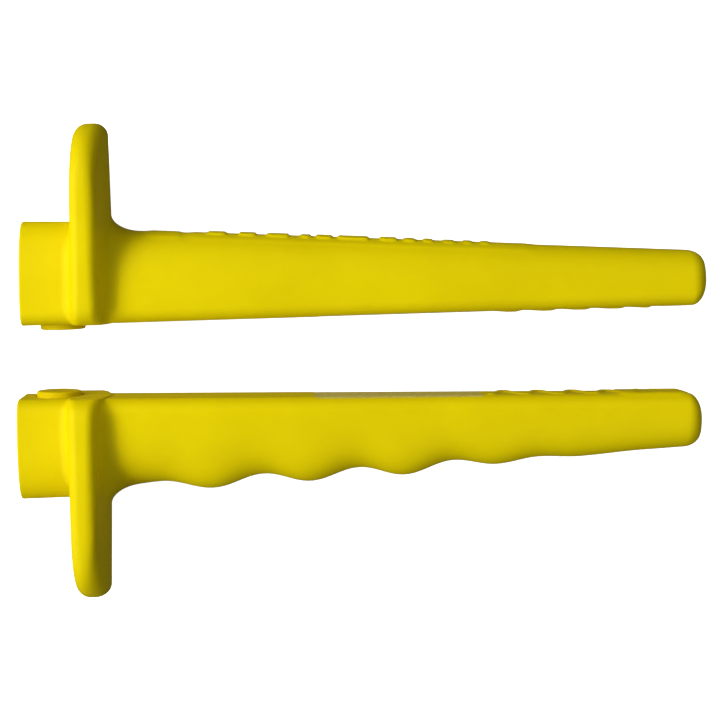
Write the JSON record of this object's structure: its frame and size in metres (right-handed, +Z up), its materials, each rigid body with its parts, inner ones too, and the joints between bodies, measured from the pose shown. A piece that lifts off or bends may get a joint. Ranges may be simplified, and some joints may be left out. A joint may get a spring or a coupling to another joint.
{
  "type": "pair of moulded tool handle grips",
  "caption": "Matched moulded hand grips with collar, hand guard and stop button, smooth-backed and finger-grooved, for a plier-type hand tool.",
  "frame": {"origin": "middle of the pair's footprint, on the ground that both grips lie on", "axes": "+X along the handles from the collars to the butts, +Y from the grooved lower grip to the smooth upper grip, +Z up. Each grip lies on its side, dipping towards its butt."},
  "size_m": [0.1744, 0.1194, 0.0325],
  "materials": {
    "sleeve_yellow": "satin, as moulded",
    "button_yellow": "matte",
    "liner_grey": "matte"
  },
  "bodies": {
    "lower_grip": {"lower_grip_sleeve": "sleeve_yellow", "lower_grip_liner": "liner_grey", "lower_grip_stop_button": "button_yellow"},
    "upper_grip": {"upper_grip_sleeve": "sleeve_yellow", "upper_grip_liner": "liner_grey", "upper_grip_stop_button": "button_yellow"}
  },
  "joints": [
    {"name": "grip_gap", "type": "slide", "parent": "lower_grip", "child": "upper_grip", "axis": [0, 1, 0], "range_m": [-0.0151, 0.05]}
  ]
}
